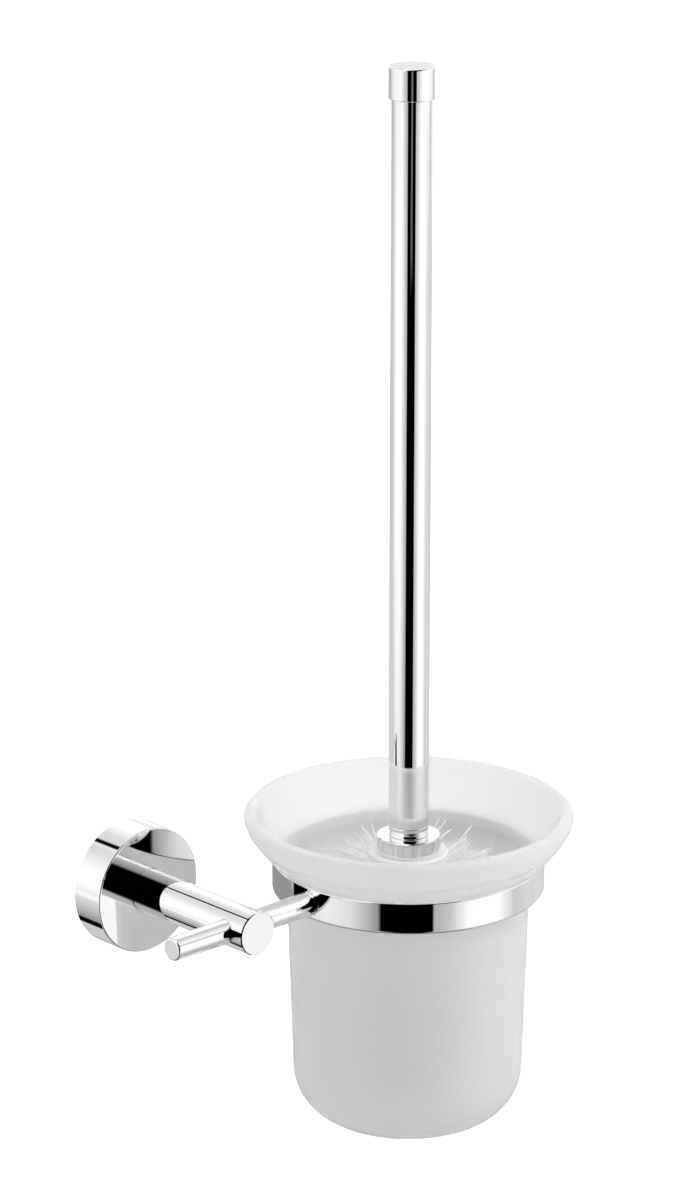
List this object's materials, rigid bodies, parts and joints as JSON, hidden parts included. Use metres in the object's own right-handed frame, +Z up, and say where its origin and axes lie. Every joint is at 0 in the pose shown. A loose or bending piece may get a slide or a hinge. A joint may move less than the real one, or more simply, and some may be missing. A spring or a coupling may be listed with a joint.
{
  "type": "toilet brush holder",
  "caption": "Wall-mounted chrome toilet brush holder with a frosted glass cup in a ring and a brush with a slim tube handle that lifts out.",
  "frame": {"origin": "centre of the rosette's back, midway between the two wall screw holes, on the wall plane", "axes": "+Z up along the handle, +Y into the wall, +X from the arm towards the cup"},
  "size_m": [0.1799, 0.1268, 0.4042],
  "materials": {
    "chrome": "polished chrome plate",
    "steel": "plain stainless fastener",
    "zinc": "die-cast zinc",
    "brass": "turned brass",
    "frosted_glass": "satin frosted glass",
    "white_plastic": "moulded white plastic",
    "bristle": "white nylon bristle",
    "gasket": "milky soft vinyl"
  },
  "bodies": {
    "holder": {"wall_bracket": "zinc", "rosette": "chrome", "set_screw": "steel", "arm": "chrome", "arm_screw": "steel", "arm_lock_washer": "steel", "end_peg": "chrome", "cross_stud": "steel", "ring_rod": "chrome", "ring_screw": "steel", "ring": "chrome", "ring_gasket": "gasket"},
    "cup": {"glass_cup": "frosted_glass"},
    "brush_head": {"brush_core": "white_plastic", "core_insert": "brass", "knurled_collar": "chrome", "bristle_band_1": "bristle", "bristle_band_2": "bristle", "bristle_band_3": "bristle", "bristle_band_4": "bristle", "bristle_band_5": "bristle", "bristle_band_6": "bristle", "bristle_tip": "bristle"},
    "ferrule": {"slip_ring": "chrome"},
    "handle": {"handle_tube": "chrome", "handle_cap": "chrome", "tube_insert": "zinc", "handle_stud": "steel"}
  },
  "joints": [
    {"name": "cup_lift", "type": "slide", "parent": "holder", "child": "cup", "axis": [0, 0, 1], "range_m": [0, 0.11]},
    {"name": "brush_lift", "type": "slide", "parent": "cup", "child": "brush_head", "axis": [0, 0, 1], "range_m": [0, 0.13]},
    {"name": "handle_turn", "type": "hinge", "parent": "brush_head", "child": "ferrule", "pos_m": [0.085, -0.065, 0.0147], "axis": [0, 0, 1], "range_deg": [0, 2880]},
    {"name": "handle_rise", "type": "slide", "parent": "ferrule", "child": "handle", "axis": [0, 0, 1], "range_m": [0, 0.0101]}
  ],
  "couplings": [
    {"joint": "handle_rise", "follows": "handle_turn", "m_per_rad": 0.00019894}
  ]
}
